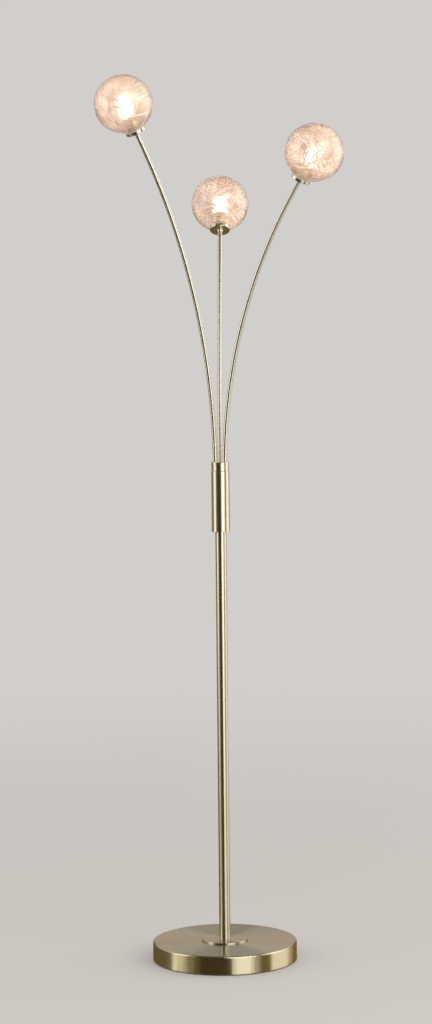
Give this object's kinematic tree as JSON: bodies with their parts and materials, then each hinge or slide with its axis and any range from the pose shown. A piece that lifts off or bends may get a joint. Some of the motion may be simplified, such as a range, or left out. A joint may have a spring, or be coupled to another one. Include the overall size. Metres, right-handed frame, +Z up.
{
  "type": "tree floor lamp",
  "caption": "Floor lamp with a weighted round base, a straight pole and thin bowed arms that each carry a glass globe on a shallow cup.",
  "frame": {"origin": "centre of the underside of the base pad, on the floor, under the pole", "axes": "+Z up along the pole; +Y towards the shortest arm and the cord outlet at the back; +X to the right of someone who faces the front"},
  "size_m": [0.4189, 0.3607, 1.5289],
  "materials": {
    "antique_brass": "satin champagne brass plating",
    "spun_brass": "spun and brushed champagne brass plating",
    "zinc_steel": "zinc plated",
    "plate_steel": "dull rolled sheet",
    "casting": "rough cast",
    "foam": "black closed-cell foam",
    "bush_rubber": "black rubber",
    "silicone": "translucent silicone",
    "terminal_plastic": "natural moulding",
    "lead_insulation": "extruded insulation",
    "ceramic": "white glazed ceramic",
    "bulb_body": "white moulding",
    "frosted_glass": "frosted, lit",
    "streaked_glass": "champagne tinted, streaked"
  },
  "bodies": {
    "stand": {"base_cover": "spun_brass", "base_weight": "casting", "base_plate": "plate_steel", "base_pad": "foam", "plate_screws": "zinc_steel", "cord_bush": "bush_rubber", "pole_flange": "spun_brass", "base_stud": "zinc_steel", "base_washer": "zinc_steel", "base_nut": "zinc_steel", "pole_foot": "zinc_steel", "pole_lower": "antique_brass", "pole_coupler": "zinc_steel", "pole_upper": "antique_brass", "hub_adaptor": "antique_brass", "hub_sleeve": "antique_brass", "hub_grub_screw": "zinc_steel", "hub_cap": "antique_brass", "arm_nipples": "zinc_steel", "arm_nuts": "zinc_steel", "terminal_block": "terminal_plastic", "arm_left": "antique_brass", "lead_left": "lead_insulation", "ferrule_left": "antique_brass", "cup_left": "antique_brass", "socket_cover_left": "antique_brass", "cup_nut_left": "zinc_steel", "gasket_left": "silicone", "lampholder_left": "ceramic", "arm_right": "antique_brass", "lead_right": "lead_insulation", "ferrule_right": "antique_brass", "cup_right": "antique_brass", "socket_cover_right": "antique_brass", "cup_nut_right": "zinc_steel", "gasket_right": "silicone", "lampholder_right": "ceramic", "arm_rear": "antique_brass", "lead_rear": "lead_insulation", "ferrule_rear": "antique_brass", "cup_rear": "antique_brass", "socket_cover_rear": "antique_brass", "cup_nut_rear": "zinc_steel", "gasket_rear": "silicone", "lampholder_rear": "ceramic"},
    "left_globe": {"globe_left": "streaked_glass"},
    "left_bulb": {"bulb_base_left": "bulb_body", "bulb_left": "frosted_glass"},
    "right_globe": {"globe_right": "streaked_glass"},
    "right_bulb": {"bulb_base_right": "bulb_body", "bulb_right": "frosted_glass"},
    "rear_globe": {"globe_rear": "streaked_glass"},
    "rear_bulb": {"bulb_base_rear": "bulb_body", "bulb_rear": "frosted_glass"}
  },
  "joints": [
    {"name": "left_globe_lift", "type": "slide", "parent": "stand", "child": "left_globe", "axis": [-0.3847, -0.2221, 0.8959], "range_m": [0, 0.085]},
    {"name": "left_bulb_pull", "type": "slide", "parent": "stand", "child": "left_bulb", "axis": [-0.3847, -0.2221, 0.8959], "range_m": [0, 0.012]},
    {"name": "right_globe_lift", "type": "slide", "parent": "stand", "child": "right_globe", "axis": [0.4608, -0.266, 0.8467], "range_m": [0, 0.085]},
    {"name": "right_bulb_pull", "type": "slide", "parent": "stand", "child": "right_bulb", "axis": [0.4608, -0.266, 0.8467], "range_m": [0, 0.012]},
    {"name": "rear_globe_lift", "type": "slide", "parent": "stand", "child": "rear_globe", "axis": [0, 0.5293, 0.8484], "range_m": [0, 0.085]},
    {"name": "rear_bulb_pull", "type": "slide", "parent": "stand", "child": "rear_bulb", "axis": [0, 0.5293, 0.8484], "range_m": [0, 0.012]}
  ]
}
